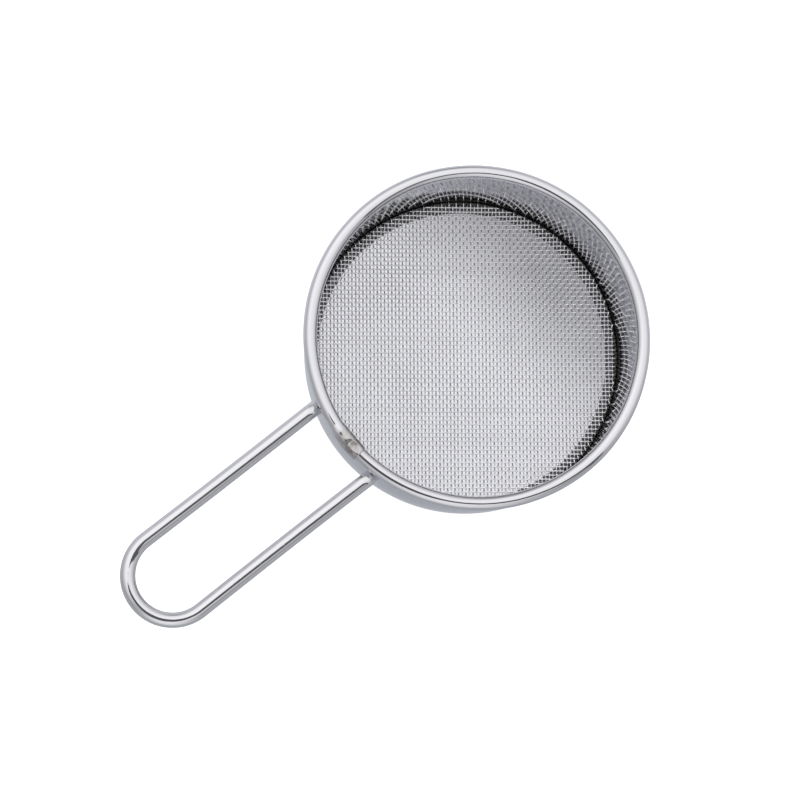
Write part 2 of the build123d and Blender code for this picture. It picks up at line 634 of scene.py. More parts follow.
@dataclass(frozen=True)
class PolishedSheet(Finish):
    """Buffed stainless sheet with faint smudges, hairlines, a heat-stained seam and a painted shade on the
    lip's top.
    """

    name: str = "polished_sheet"
    colour: tuple[float, float, float] = (0.715, 0.715, 0.735)
    roughness: float = 0.045
    smudged: float = 0.05
    scratched: float = 0.10
    seam_roughness: float = 0.19
    # colour of the painted shade on the lip's top, standing in for the shadow in the crevice under the
    # cloth
    lip_shade_colour: tuple[float, float, float] = (0.11, 0.107, 0.10)
    bump_height: float = 0.00002

    def dress(self, graph: Graph, shader: bpy.types.Node, effects: Effects) -> None:
        """Mirror polish, dulled where it was handled, scratched or welded, and a painted shade on the
        lip's top.

        Args:
            graph: The material's nodes.
            shader: Its Principled shader.
            effects: The shared node groups.
        """
        place = graph.node("TexCoord").outputs["Object"]
        flow = graph.node("Attribute", attribute_name="flow").outputs["Vector"]
        seam = graph.node("Attribute", attribute_name="seam").outputs["Fac"]
        hairs = graph.shared(effects.scratches, {"Vector": place, "Scale": 520.0}).outputs["Mask"]
        marks = graph.shared(effects.handling, {"Vector": place, "Scale": 55.0}).outputs["Mask"]
        wheel = graph.stretch(flow, (0.12, 0.12, 3.0))
        lines = graph.shared(effects.draw_lines, {"Vector": wheel, "Fineness": 5.0})
        colour = graph.blend(graph.math("MULTIPLY", marks, 0.25), (*self.colour, 1), (0.62, 0.63, 0.65, 1))
        stain = graph.shared(effects.heat, {"Vector": place, "Color": colour, "Heat": seam})
        # painted shade: the lip's top inside the band is darkened as if shadowed in the crevice
        lip_shade = graph.node("Attribute", attribute_name="lip_shade").outputs["Fac"]
        lip_shaded = graph.blend(lip_shade, stain.outputs["Color"], (*self.lip_shade_colour, 1))
        graph.put(shader.inputs["Base Color"], lip_shaded)
        rough = graph.math("MULTIPLY_ADD", marks, self.smudged, self.roughness)
        rough = graph.math("MULTIPLY_ADD", lip_shade, 0.35, rough)
        rough = graph.math("MULTIPLY_ADD", hairs, self.scratched, rough)
        rough = graph.math("MULTIPLY_ADD", lines.outputs["Mask"], 0.03, rough)
        rough = graph.math("MULTIPLY_ADD", seam, self.seam_roughness, rough)
        graph.put(shader.inputs["Roughness"], rough)
        pitted = graph.math("MULTIPLY", graph.noise(place, 2600.0, 3.0), seam)
        pits = graph.math("MULTIPLY", pitted, 3.0)
        height = graph.math("MULTIPLY_ADD", lines.outputs["Height"], 0.10, pits)
        height = graph.math("MULTIPLY_ADD", hairs, -0.25, height)
        bump = {"Height": height, "Strength": 0.5, "Distance": self.bump_height}
        graph.put(shader.inputs["Normal"], graph.node("Bump", bump).outputs["Normal"])


@dataclass(frozen=True)
class BrightWire(Finish):
    """Drawn and electropolished wire: lines along its length under a bright skin."""

    name: str = "bright_wire"
    colour: tuple[float, float, float] = (0.73, 0.73, 0.745)
    roughness: float = 0.04
    smudged: float = 0.045
    scratched: float = 0.10
    bump_height: float = 0.00002

    def dress(self, graph: Graph, shader: bpy.types.Node, effects: Effects) -> None:
        """Bright wire, a little duller where it is held.

        Args:
            graph: The material's nodes.
            shader: Its Principled shader.
            effects: The shared node groups.
        """
        place = graph.node("TexCoord").outputs["Object"]
        flow = graph.node("Attribute", attribute_name="flow").outputs["Vector"]
        hairs = graph.shared(effects.scratches, {"Vector": place, "Scale": 640.0}).outputs["Mask"]
        marks = graph.shared(effects.handling, {"Vector": place, "Scale": 70.0}).outputs["Mask"]
        drawn = graph.shared(effects.draw_lines, {"Vector": graph.stretch(flow, (3.0, 3.0, 0.05))})
        colour = graph.blend(graph.math("MULTIPLY", marks, 0.2), (*self.colour, 1), (0.64, 0.64, 0.66, 1))
        graph.put(shader.inputs["Base Color"], colour)
        rough = graph.math("MULTIPLY_ADD", marks, self.smudged, self.roughness)
        rough = graph.math("MULTIPLY_ADD", hairs, self.scratched, rough)
        rough = graph.math("MULTIPLY_ADD", drawn.outputs["Mask"], 0.04, rough)
        graph.put(shader.inputs["Roughness"], rough)
        cuts = graph.math("MULTIPLY", hairs, -0.3)
        height = graph.math("MULTIPLY_ADD", drawn.outputs["Height"], 0.22, cuts)
        bump = {"Height": height, "Strength": 0.5, "Distance": self.bump_height}
        graph.put(shader.inputs["Normal"], graph.node("Bump", bump).outputs["Normal"])


@dataclass(frozen=True)
class ShadedHoopWire(Finish):
    """Hoop wire whose dark colour is a painted shade, as dark and dull as the crevice that it lies in."""

    name: str = "shaded_hoop_wire"
    # painted shade: the hoop's colour stands in for the shadow in the crevice under the cloth's edge
    colour: tuple[float, float, float] = (0.11, 0.107, 0.10)
    lighter_patches: tuple[float, float, float] = (0.20, 0.195, 0.19)
    roughness: float = 0.38
    bump_height: float = 0.00003

    def dress(self, graph: Graph, shader: bpy.types.Node, effects: Effects) -> None:
        """Dark painted shade, a little lighter in cloudy patches.

        Args:
            graph: The material's nodes.
            shader: Its Principled shader.
            effects: The shared node groups.
        """
        place = graph.node("TexCoord").outputs["Object"]
        flow = graph.node("Attribute", attribute_name="flow").outputs["Vector"]
        lighter_patches = graph.shared(effects.handling, {"Vector": place, "Scale": 160.0}).outputs["Mask"]
        drawn = graph.shared(effects.draw_lines, {"Vector": graph.stretch(flow, (9.0, 9.0, 0.3))})
        graph.put(shader.inputs["Base Color"], graph.blend(lighter_patches, (*self.colour, 1), (*self.lighter_patches, 1)))
        graph.put(shader.inputs["Roughness"], graph.math("MULTIPLY_ADD", lighter_patches, -0.1, self.roughness))
        bump = {"Height": drawn.outputs["Height"], "Strength": 0.4, "Distance": self.bump_height}
        graph.put(shader.inputs["Normal"], graph.node("Bump", bump).outputs["Normal"])


@dataclass(frozen=True)
class WovenWire(Finish):
    """Fine cloth wire, each wire a shade lighter or darker than the next one, with a painted shade on the
    warp's climbing flanks.
    """

    name: str = "woven_wire"
    colour: tuple[float, float, float] = (0.95, 0.95, 0.97)
    darker: tuple[float, float, float] = (0.82, 0.82, 0.84)
    # colour of the painted shade on the warp's climbing flanks
    climb_shade_colour: tuple[float, float, float] = (0.46, 0.46, 0.48)
    roughness: float = 0.07
    uneven: float = 0.08
    bump_height: float = 0.00001

    def dress(self, graph: Graph, shader: bpy.types.Node, effects: Effects) -> None:
        """Slightly dull drawn wire with a tone of its own, and a painted shade on its climbing flanks.

        Args:
            graph: The material's nodes.
            shader: Its Principled shader.
            effects: The shared node groups.
        """
        place = graph.node("TexCoord").outputs["Object"]
        flow = graph.node("Attribute", attribute_name="flow").outputs["Vector"]
        tone = graph.node("Attribute", attribute_name="tone").outputs["Fac"]
        marks = graph.shared(effects.handling, {"Vector": place, "Scale": 90.0}).outputs["Mask"]
        drawn = graph.shared(effects.draw_lines, {"Vector": graph.stretch(flow, (9.0, 9.0, 0.3))})
        shade = graph.math("MULTIPLY_ADD", marks, 0.35, graph.math("MULTIPLY", tone, 0.65))
        colour = graph.blend(shade, (*self.colour, 1), (*self.darker, 1))
        # painted shade: the warp's climbing flanks are darkened to stand in for their shade
        climb_shade = graph.node("Attribute", attribute_name="climb_shade").outputs["Fac"]
        graph.put(shader.inputs["Base Color"], graph.blend(climb_shade, colour, (*self.climb_shade_colour, 1)))
        rough = graph.math("MULTIPLY_ADD", shade, self.uneven, self.roughness)
        rough = graph.math("MULTIPLY_ADD", drawn.outputs["Mask"], 0.05, rough)
        graph.put(shader.inputs["Roughness"], rough)
        bump = {"Height": drawn.outputs["Height"], "Strength": 0.4, "Distance": self.bump_height}
        graph.put(shader.inputs["Normal"], graph.node("Bump", bump).outputs["Normal"])


@dataclass(frozen=True)
class WeldMetal(Finish):
    """Dull weld metal with a brown heat stain and a fine rough skin."""

    name: str = "weld_metal"
    colour: tuple[float, float, float] = (0.56, 0.555, 0.55)
    roughness: float = 0.18
    bump_height: float = 0.00006

    def dress(self, graph: Graph, shader: bpy.types.Node, effects: Effects) -> None:
        """Rough, stained metal.

        Args:
            graph: The material's nodes.
            shader: Its Principled shader.
            effects: The shared node groups.
        """
        place = graph.node("TexCoord").outputs["Object"]
        cloudy = graph.noise(place, 420.0, 4.0)
        heat = graph.span(cloudy, 0.35, 0.75, 0.25, 0.9)
        stain = graph.shared(effects.heat, {"Vector": place, "Color": (*self.colour, 1), "Heat": heat})
        graph.put(shader.inputs["Base Color"], stain.outputs["Color"])
        grain = graph.noise(place, 2400.0, 5.0)
        graph.put(shader.inputs["Roughness"], graph.math("MULTIPLY_ADD", grain, 0.25, self.roughness))
        hairs = graph.shared(effects.scratches, {"Vector": place, "Scale": 800.0}).outputs["Mask"]
        height = graph.math("MULTIPLY_ADD", hairs, -0.3, grain)
        bump = {"Height": height, "Strength": 0.6, "Distance": self.bump_height}
        graph.put(shader.inputs["Normal"], graph.node("Bump", bump).outputs["Normal"])


class Wardrobe:
    """Makes each finish once and hands pieces over dressed and riding."""

    def __init__(self) -> None:
        """Builds the effects and an empty store of materials."""
        self.effects = Effects()
        self.made: dict[str, bpy.types.Material] = {}

    def dress(self, piece: bpy.types.Object, finish: Finish, slot: Slot, *nodes: str) -> None:
        """Gives a piece its finish and its place in the frame.

        Args:
            piece: The finished object.
            finish: Its finish.
            slot: Not used.
            *nodes: The CAD nodes that it stands for.
        """
        if finish.name not in self.made:
            self.made[finish.name] = finish.material(self.effects)
        piece.data.materials.append(self.made[finish.name])
        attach(piece, BODY)
        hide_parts(*nodes)
        log.info("%s: %d faces, %s", piece.name, len(piece.data.polygons), finish.name)


# ---------------------------------------------------------------- the drum


@dataclass
class Drum:
    """The band with its lip, wall and rolled bead, and the wires and weld that belong to it."""

    places: Places
    sheet: float = 0.5
    wall_inner: float = 37.35
    corner_radius: float = 0.8
    lip_inner: float = 34.6
    fillet: float = 0.5
    curl_start: float = -70.0
    tuck: float = 240.0
    copies: int = 640
    lap_start: float = -5.2
    lap_end: float = 6.8
    lap_rise: float = 0.36
    lap_section_end: float = 215.0
    spot_angle: float = 3.6
    spot_radius: float = 1.3

    def outline(self) -> np.ndarray:
        """The band's closed section: lip, corner, wall, curl round the core wire, and back.

        Returns:
            Radius and height of each point.
        """
        p = self.places
        bead = (p.bead_circle, p.bead_level)
        bead_radius = p.core_radius + self.sheet
        wall_outer = self.wall_inner + self.sheet
        corner = (wall_outer - self.corner_radius, self.corner_radius)
        half = self.sheet / 2
        nose = np.array(bead) + (p.core_radius + half) * polar(self.curl_start)
        reach = p.bead_circle - self.wall_inner + self.fillet
        drop = math.sqrt((bead_radius + self.fillet) ** 2 - reach**2)
        fillet_at = (self.wall_inner - self.fillet, p.bead_level - drop)
        meet = math.degrees(math.atan2(drop, reach))
        tuck_at = np.array(bead) + p.core_radius * polar(self.tuck)
        lip_nose = (self.lip_inner + half, half)
        return chain(
            [
                line((lip_nose[0], 0), (corner[0], 0), 5),
                arc(corner, self.corner_radius, -90, 0, 9),
                line((wall_outer, corner[1]), (wall_outer, tuck_at[1]), 10),
                arc(bead, p.core_radius, self.tuck, self.curl_start, 14),
                arc(nose, half, self.curl_start - 180, self.curl_start - 360, 6),
                arc(bead, bead_radius, self.curl_start, 180 + meet, 78),
                arc(fillet_at, self.fillet, meet, 0, 6),
                line((self.wall_inner, fillet_at[1]), (self.wall_inner, corner[1]), 10),
                arc(corner, self.corner_radius - self.sheet, 0, -90, 6),
                line((corner[0], self.sheet), (lip_nose[0], self.sheet), 5),
                arc(lip_nose, half, 90, 270, 7),
            ]
        )

    def angles(self) -> np.ndarray:
        """Angles of the section's copies, closer together at the lap of the bead.

        Returns:
            The angles in degrees, rising.
        """
        run_up = np.linspace(self.lap_start - 2, self.lap_end - 0.6, 80)
        step = np.linspace(self.lap_end - 0.5, self.lap_end + 0.5, 24)
        crowded = np.concatenate([run_up, step])
        rest = np.linspace(self.lap_end + 0.6, 360 + self.lap_start - 2.5, self.copies - len(crowded))
        return np.concatenate([crowded, rest])

    def lap(self, turn: np.ndarray) -> np.ndarray:
        """How far into the lap an angle is: a slow rise at its start and a short step at its end.

        Args:
            turn: The angles in degrees.

        Returns:
            The share of the lap, 0 to 1, at each angle.
        """
        turn = (turn + 180) % 360 - 180
        start = smooth_step(turn, self.lap_start - 1.0, self.lap_start + 3.0)
        return start * (1 - smooth_step(turn, self.lap_end - 0.12, self.lap_end + 0.12))

    def bend(
        self, turn: np.ndarray, radius: np.ndarray, height: np.ndarray
    ) -> tuple[np.ndarray, np.ndarray]:
        """Adds the lap's fuller bead, its pressed spot and the hand-made unevenness.

        Inside the lap a point of the bead's outer face moves away from the bead's centre by the
        rise. Round the spot weld the crown is pressed down. The whole band has long shallow
        waves, of a few hundredths of a millimetre.

        Args:
            turn: Angle of each point.
            radius: Its radius.
            height: Its height.

        Returns:
            The new radius and height.
        """
        p = self.places
        away = np.stack([radius - p.bead_circle, height - p.bead_level], axis=-1)
        reach = np.linalg.norm(away, axis=-1)
        section = np.degrees(np.arctan2(away[..., 1], away[..., 0]))
        section = np.where(section < self.curl_start - 20, section + 360, section)
        outer = smooth_step(reach, p.core_radius + 0.3, p.core_radius + self.sheet - 0.05)
        on_bead = outer * (reach < p.core_radius + self.sheet + 0.02)
        span = smooth_step(section, self.curl_start - 1, self.curl_start + 8) * (
            1 - smooth_step(section, self.lap_section_end - 6, self.lap_section_end + 1)
        )
        lift = self.lap_rise * self.lap(turn) * on_bead * span
        lumps = 1 + 0.12 * ripple(turn, [(1, 47, 10), (0.7, 83, 80)])
        unit = away / np.maximum(reach, 1e-6)[..., None]
        radius = radius + unit[..., 0] * lift * lumps
        height = height + unit[..., 1] * lift * lumps
        sideways = (turn - self.spot_angle + 180) % 360 - 180
        near = np.hypot(np.radians(sideways) * p.bead_circle, radius - p.bead_circle)
        pressed = p.spot_high - 0.09
        soft = smooth_step(near, self.spot_radius + 0.9, self.spot_radius - 0.1)
        height = np.where(height > pressed, height - (height - pressed) * soft, height)
        waves = ripple(turn, [(0.030, 3, 40), (0.018, 7, 110), (0.006, 19, 10), (0.004, 31, 200)])
        return radius + waves * np.clip(height / p.bead_level, 0, 1), height

    def band(self) -> Surface:
        """The whole band, with the value "seam" for the lap's heat and a value that marks the lip's top
        for its painted shade.

        Returns:
            The closed surface.
        """
        outline, angles = self.outline(), self.angles()
        surface = lathe(outline, angles, self.bend)
        turn = np.degrees(np.arctan2(surface.points[:, 1], surface.points[:, 0]))
        height = surface.points[:, 2]
        on_bead = smooth_step(height, self.places.bead_level - 2.2, self.places.bead_level - 1.0)
        near_spot = np.exp(-(((turn - self.spot_angle) / 4.2) ** 2))
        lapped = np.clip(self.lap(turn) * 0.45 + near_spot * 0.55, 0, 1)
        surface.values["seam"] = lapped * on_bead * (np.abs(turn) < 30)
        reach = np.hypot(surface.points[:, 0], surface.points[:, 1])
        inside = reach < self.wall_inner + self.sheet / 2
        lip_top = (height > self.sheet / 2) & (height < self.sheet + 0.7)
        # painted shade: marks the lip's top inside the band, which the finish darkens
        surface.values["lip_shade"] = (inside & lip_top).astype(float)
        return surface

    def core(self) -> Surface:
        """The core wire: a full circle turned round the axis, just inside the curl.

        Returns:
            The closed surface.
        """
        p = self.places
        circle = arc((p.bead_circle, p.bead_level), p.core_radius - 0.01, 0, 352.5, 48)
        return lathe(circle, np.linspace(0, 360, 300, endpoint=False))

    def hoop(self) -> Surface:
        """The half-flat hoop under the cloth's edge: two half circles joined by flats.

        Returns:
            The closed surface.
        """
        p = self.places
        half = (p.hoop_high - p.hoop_low) / 2
        level = p.hoop_low + half
        outer = (p.hoop_outer - half, level)
        inner = (outer[0] - 2 * half, level)
        outline = chain([arc(outer, half, -90, 90, 13), arc(inner, half, 90, 270, 13)])
        return lathe(outline, np.linspace(0, 360, 300, endpoint=False))

    def spot(self) -> Surface:
        """The pressed spot weld: a dished disc with a soft raised edge, let into the bead's crown.

        The height at radius r is top - 0.05 - 0.10 (1 - r^2) + edge, where the edge is a bell-shaped
        ring. It is never higher than the round face of the lapped bead.

        Returns:
            The closed surface.
        """
        p = self.places
        share = np.concatenate([np.linspace(0.08, 1.0, 15), [1.04, 1.04]])
        top = p.spot_high - 0.02
        edge = 0.012 * np.exp(-(((share - 0.86) / 0.09) ** 2))
        level = top - 0.05 - 0.10 * (1 - share**2) + edge
        level[-2:] = [top - 0.35, p.bead_level + 0.9]
        turn = np.linspace(0, 360, 40, endpoint=False)
        grid_turn, grid_share = np.meshgrid(turn, share, indexing="ij")
        uneven = 1 + 0.02 * ripple(grid_turn, [(1, 3, 20), (0.7, 5, 100), (0.4, 9, 10)])
        centre = p.bead_circle * polar(self.spot_angle)
        flat = centre + polar(grid_turn) * (grid_share * self.spot_radius * uneven)[..., None]
        lumpy = 0.006 * ripple(grid_turn, [(1, 4, 0), (1, 7, 50)]) * grid_share
        aside = np.linalg.norm(flat, axis=-1) - p.bead_circle
        lapped = p.core_radius + self.sheet + self.lap_rise
        crown = p.bead_level + np.sqrt(np.maximum(lapped**2 - aside**2, 0.01))
        height = np.minimum(level[None, :] + lumpy, crown)
        points = np.concatenate([flat, height[..., None]], axis=-1)
        rings = np.moveaxis(points, 0, 1).reshape(-1, 3)
        poles = np.array([[*centre, level[0]], [*centre, level[-1]]])
        quads, caps = capped(len(share), len(turn))
        points = np.vstack([rings, poles])
        return Surface(points, quads, caps, {"flow": points.copy()}).outward()

    def build(self, wardrobe: Wardrobe) -> None:
        """Makes and dresses the band, core wire, hoop and spot weld.

        Args:
            wardrobe: Where the finishes come from.
        """
        wardrobe.dress(self.band().make("drum_band_polished"), PolishedSheet(), Slot.BAND, "drum_band")
        wardrobe.dress(self.core().make("rim_core_wire"), BrightWire(), Slot.WIRE, "rim_wire")
        wardrobe.dress(self.hoop().make("cloth_hoop"), ShadedHoopWire(), Slot.WIRE, "support_hoop")
        wardrobe.dress(self.spot().make("seam_spot_weld"), WeldMetal(), Slot.WELD, "seam_weld")


# ---------------------------------------------------------------- the woven cloth


@dataclass
class WovenCloth:
    """Plain-woven wire cloth, every wire a tube that goes over one crossing and under the next."""

    places: Places
    wire: float = 0.38
    warp_pitch: float = 0.866
    weft_pitch: float = 1.006
    warp_heading: float = 51.76
    ramp_length: float = 1.6
    crest_width: float = 0.9
    level: float = 1.2
    skirt_end: float = 0.95
    sides: int = 6
    steps_per_pitch: float = 6.0
    warp_crimp: float = 0.80
    straightness: float = 0.92
    slices: int = 3
    seed: int = 7

    def profile(self) -> np.ndarray:
        """Middle of the cloth in the section: flat, up a soft ramp, over the hoop, down the wall.

        Returns:
            Radius, height and way along of each point, from the flat outwards.
        """
        p = self.places
        half = self.wire
        crest = p.hoop_high + half
        over = (p.hoop_high - p.hoop_low) / 2 + half
        skirt = p.cloth_outer - half
        crest_out = skirt - over
        crest_in = crest_out - self.crest_width
        ramp_in = crest_in - self.ramp_length
        turn = 2 * math.degrees(math.atan((crest - self.level) / self.ramp_length))
        radius = self.ramp_length / (2 * math.sin(math.radians(turn)))
        points = chain(
            [
                line((0, self.level), (ramp_in, self.level), 2),
                arc((ramp_in, self.level + radius), radius, -90, turn - 90, 12),
                arc((crest_in, crest - radius), radius, 90 + turn, 90, 12),
                line((crest_in, crest), (crest_out, crest), 3),
                arc((crest_out, crest - over), over, 90, 0, 12),
                line((skirt, crest - over), (skirt, self.skirt_end), 3),
            ],
            closed=False,
        )
        way = np.concatenate([[0], np.cumsum(np.linalg.norm(np.diff(points, axis=0), axis=1))])
        return np.column_stack([points, way])

    def wire_path(self, offset: float, pitch: float) -> tuple[np.ndarray, np.ndarray, np.ndarray]:
        """One wire's middle line, straight in plan, laid on the cloth's profile.

        A wire at a distance y from the axis meets the profile at radius r where its own way is
        s = sqrt(r^2 - y^2). The stations are even in s over the flat and even along the profile
        where it turns down.

        Args:
            offset: Distance of the wire from the drum's axis.
            pitch: Spacing of the wires that it crosses.

        Returns:
            Way along in plan, height of the middle and slope direction (radial, up) at each station.
        """
        shape = self.profile()
        radius, height, way = shape.T
        edge = float(radius.max())
        full = math.sqrt(max(edge**2 - offset**2, 0.04))
        steps = max(int(full / pitch * self.steps_per_pitch), 4)
        flat_s = np.linspace(0, full, steps)[:-1]
        flat_r = np.hypot(flat_s, offset)
        start = float(np.interp(edge - 0.12, radius, way))
        down_way = np.linspace(start, way[-1], 6)
        down_r = np.interp(down_way, way, radius)
        down_s = np.sqrt(np.maximum(down_r**2 - offset**2, 0))
        keep = flat_s < down_s[0] - 0.05
        station_s = np.concatenate([flat_s[keep], down_s])
        inside = int(np.argmax(radius))
        flat_way = np.interp(flat_r[keep], radius[: inside + 1], way[: inside + 1])
        station_way = np.concatenate([flat_way, down_way])
        station_z = np.interp(station_way, way, height)
        ahead = np.interp(station_way + 0.05, way, height) - np.interp(station_way - 0.05, way, height)
        out = np.interp(station_way + 0.05, way, radius) - np.interp(station_way - 0.05, way, radius)
        slope = np.stack([out, ahead], axis=-1)
        slope = slope / np.maximum(np.linalg.norm(slope, axis=-1, keepdims=True), 1e-6)
        both_s = np.concatenate([-station_s[:0:-1], station_s])
        both_z = np.concatenate([station_z[:0:-1], station_z])
        both_slope = np.concatenate([slope[:0:-1], slope])
        return both_s, both_z, both_slope

    def strand(self, family: Strand, index: int, shift: float, tone: float) -> Surface:
        """One wire of the cloth.

        Its middle is the profile's point plus n * a * w(k), where n is the profile's normal, k
        counts the crossings along the wire, and a is the family's share of one wire thickness: the
        warp bends more than the weft. The wave w is asin(q cos(pi k)) / asin(q), which is a cosine
        with straighter flanks. Neighbouring wires and the two families go opposite ways.

        The painted-shade value is 1 where a warp wire of the flat cloth climbs, from the tangent's rise.

        Args:
            family: Warp or weft.
            index: Which wire of the family, counted from the middle.
            shift: How far it lies off its even spacing.
            tone: Its shade, 0 to 1.

        Returns:
            The closed tube.
        """
        warp = family is Strand.WARP
        own, other = (
            (self.warp_pitch, self.weft_pitch) if warp else (self.weft_pitch, self.warp_pitch)
        )
        offset = (index + 0.5) * own + shift
        run, level, slope = self.wire_path(offset, other)
        plan = np.hypot(run, offset)
        heading = polar(self.warp_heading if warp else self.warp_heading - 90)
        aside = polar(self.warp_heading - 90 if warp else self.warp_heading)
        flat = run[:, None] * heading + offset * aside
        away = flat / plan[:, None]
        sign = (1 if warp else -1) * (1 if index % 2 == 0 else -1)
        share = self.warp_crimp if warp else 1 - self.warp_crimp
        bent = np.arcsin(self.straightness * np.cos(np.pi * (run / other - 0.5)))
        wave = sign * self.wire * share * bent / math.asin(self.straightness)
        normal = np.column_stack([-slope[:, 1:] * away, slope[:, :1]])
        path = np.column_stack([flat, level]) + wave[:, None] * normal
        tangent = np.gradient(path, axis=0)
        tangent /= np.linalg.norm(tangent, axis=1, keepdims=True)
        side = np.column_stack([np.broadcast_to(aside, flat.shape), np.zeros(len(flat))])
        side = side - np.sum(side * tangent, axis=1, keepdims=True) * tangent
        side /= np.linalg.norm(side, axis=1, keepdims=True)
        made = tube(path, tangent, side, np.full(len(path), self.wire / 2), self.sides)
        made.values["tone"] = np.full(len(made.points), tone)
        # painted shade on the warp's climbing flanks, read by the cloth's finish
        rising = smooth_step(tangent[:, 2], 0.12, 0.42) * smooth_step(plan, 34.4, 33.6)
        climb_shade = np.zeros(len(made.points))
        climb_shade[: len(path) * self.sides] = np.repeat(rising * warp, self.sides)
        made.values["climb_shade"] = climb_shade
        return made

    def build(self, wardrobe: Wardrobe) -> None:
        """Makes each family in slices, and dresses them.

        Args:
            wardrobe: Where the finishes come from.
        """
        draw = np.random.default_rng(self.seed)
        edge = self.places.cloth_outer - self.wire
        for family in Strand:
            pitch = self.warp_pitch if family is Strand.WARP else self.weft_pitch
            half = int((edge - 0.35) / pitch - 0.5)
            indices = np.arange(-half - 1, half + 1)
            for number, group in enumerate(np.array_split(indices, self.slices), start=1):
                shifts = draw.normal(0, 0.012, len(group))
                tones = draw.uniform(0, 1, len(group)) ** 2
                wires = [
                    self.strand(family, int(i), float(s), float(t))
                    for i, s, t in zip(group, shifts, tones)
                ]
                piece = Surface.merged(wires).make(f"cloth_{family.value}_{number}", smooth_all=True)
                wardrobe.dress(piece, WovenWire(), Slot.CLOTH, "wire_cloth")


# ---------------------------------------------------------------- the handle


@dataclass
class Handle:
    """The bent wire loop with its two feet on the band, and the weld at each foot."""

    places: Places
    wire: float = 3.5
    leg_level: float = 28.3
    bend_radius: float = 3.5
    press: float = 0.2
    wall_outer: float = 37.85
    sides: int = 40
    weld_radius: float = 1.5

    @property
    def leg_offset(self) -> float:
        """Distance of a leg's middle from the strainer's middle plane."""
        return self.places.handle_half_width - self.wire / 2

    @property
    def foot_x(self) -> float:
        """How far out the feet stand, pressed a little into the band's outline."""
        return math.sqrt((self.wall_outer + self.wire / 2 - self.press) ** 2 - self.leg_offset**2)

    def loop(self) -> Surface:
        """The whole wire: foot, quarter bend, leg, half-circle bend, and the same back.

        Along the half path the middle runs straight up the band, turns through a quarter circle
        into the leg and runs out to the end bend. The legs bow in by a tenth of a millimetre.

        Returns:
            The closed tube, its feet flattened where they are pressed onto the band.
        """
        p = self.places
        y = self.leg_offset
        x_foot, radius = self.foot_x, self.bend_radius
        x_bend = p.handle_reach - self.wire / 2 - y
        foot = p.handle_foot
        rise = line((x_foot, foot), (x_foot, self.leg_level - radius), 14)
        turn = np.linspace(180, 90, 22)
        corner = np.array([x_foot + radius, self.leg_level - radius]) + radius * polar(turn)
        run = line((x_foot + radius, self.leg_level), (x_bend, self.leg_level), 90)
        half = chain([rise, corner, run], closed=False)
        bow = 0.10 * np.sin(np.pi * np.clip((half[:, 0] - x_foot) / (x_bend - x_foot), 0, 1))
        leg = np.column_stack([half[:, 0], y - bow, half[:, 1]])
        sweep = polar(np.linspace(90, -90, 90))[1:-1]
        end_level = np.full(len(sweep), self.leg_level)
        end = np.column_stack([x_bend + y * sweep[:, 0], y * sweep[:, 1], end_level])
        path = np.concatenate([leg, end, (leg * [1, -1, 1])[::-1]])
        tangent = np.gradient(path, axis=0)
        tangent /= np.linalg.norm(tangent, axis=1, keepdims=True)
        round_end = np.linspace(0, -180, len(end) + 2)[1:-1]
        heading = np.concatenate([np.zeros(len(leg)), round_end, np.full(len(leg), -180)])
        facing = np.radians(heading)
        side = np.column_stack([-np.sin(facing), np.cos(facing), np.zeros(len(heading))])
        side = side - np.sum(side * tangent, axis=1, keepdims=True) * tangent
        side /= np.linalg.norm(side, axis=1, keepdims=True)
        thick = np.full(len(path), self.wire / 2)
        thick[[0, -1]] -= 0.25
        thick[[1, -2]] -= 0.05
        made = tube(path, tangent, side, thick, self.sides)
        plan = np.hypot(made.points[:, 0], made.points[:, 1])
        pushed = np.maximum(self.wall_outer / np.maximum(plan, 1e-6), 1)
        made.points[:, :2] *= pushed[:, None]
        return made

    def weld(self, sign: int) -> Surface:
        """The bead of weld round one foot: a ball with low ripples, partly inside band and wire.

        Its radius is 0.97 R (1 + ripples of the two angles).

        Args:
            sign: Which side of the middle plane.

        Returns:
            The closed surface.
        """
        share = self.wall_outer / (self.wall_outer + self.wire / 2 - self.press)
        centre = np.array([self.foot_x * share, sign * self.leg_offset * share, self.places.handle_foot])
        turn = np.linspace(0, 360, 40, endpoint=False)
        tilt = np.linspace(0, 180, 26)[1:-1]
        grid_tilt, grid_turn = np.meshgrid(tilt, turn, indexing="ij")
        lobes = ripple(grid_turn, [(1, 3, 30 * sign), (0.6, 7, 80)])
        lumps = 1 + 0.04 * lobes * np.sin(np.radians(grid_tilt))
        rings = 0.03 * ripple(grid_tilt, [(1, 9, 0)])
        size = self.weld_radius * 0.97 * (lumps + rings)
        ball = np.stack(
            [
                np.sin(np.radians(grid_tilt)) * polar(grid_turn)[..., 0],
                np.sin(np.radians(grid_tilt)) * polar(grid_turn)[..., 1],
                np.cos(np.radians(grid_tilt)),
            ],
            axis=-1,
        )
        rings_at = (centre + size[..., None] * ball).reshape(-1, 3)
        poles = centre + np.array([[0, 0, self.weld_radius * 0.97], [0, 0, -self.weld_radius * 0.97]])
        quads, caps = capped(len(tilt), len(turn))
        points = np.vstack([rings_at, poles])
        return Surface(points, quads, caps, {"flow": points.copy()}).outward()

    def build(self, wardrobe: Wardrobe) -> None:
        """Makes and dresses the loop and its two welds.

        Args:
            wardrobe: Where the finishes come from.
        """
        wardrobe.dress(self.loop().make("handle_loop"), BrightWire(), Slot.WIRE, "handle_wire")
        for sign, name in ((1, "left"), (-1, "right")):
            piece = self.weld(sign).make(f"handle_foot_weld_{name}")
            wardrobe.dress(piece, WeldMetal(), Slot.WELD, f"handle_weld_{name}")


# ---------------------------------------------------------------- the studio


@dataclass(frozen=True)
class Patch:
    """A broad lighter or darker place on the tent, seen from the strainer.

    Its heading is counted from the camera's right towards its up, its tilt from the camera's axis.
    """

    heading: float
    tilt: float
    tightness: float
    gain: float


